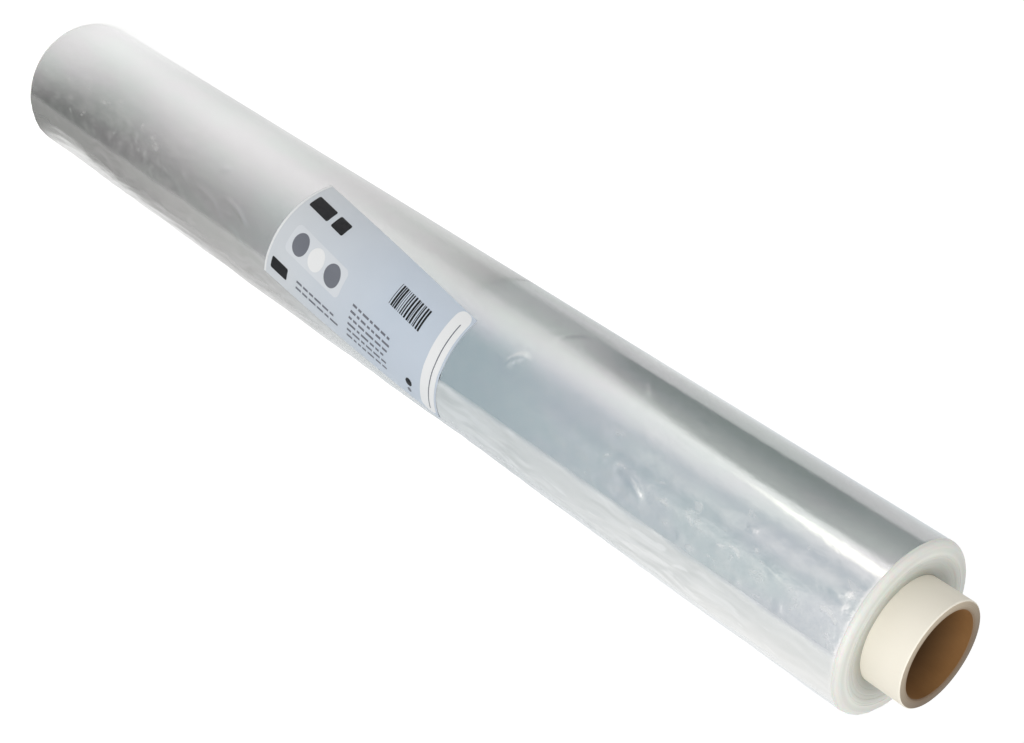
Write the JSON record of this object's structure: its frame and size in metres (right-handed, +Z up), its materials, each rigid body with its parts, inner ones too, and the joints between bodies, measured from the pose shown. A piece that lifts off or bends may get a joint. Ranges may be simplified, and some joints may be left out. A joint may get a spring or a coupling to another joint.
{
  "type": "roll of cling film",
  "caption": "Clear plastic wrapping film wound in a long roll on a paperboard core, with a bare core stub at one end and a paper label set askew on the wind.",
  "frame": {"origin": "centre of the flush end that the roll stands on", "axes": "+Z up along the roll's axis, towards the bare core stub; -Y towards the label's side"},
  "size_m": [0.0753, 0.0756, 0.6166],
  "materials": {
    "core_board": "cream paper outside, brown kraft inside",
    "clear_film": "clear film, silvery where wound, milky at the ends",
    "label_paper": "glossy print in pale blue, white and grey"
  },
  "bodies": {
    "root": {"core_tube": "core_board", "film_wind": "clear_film", "label": "label_paper"}
  },
  "joints": []
}
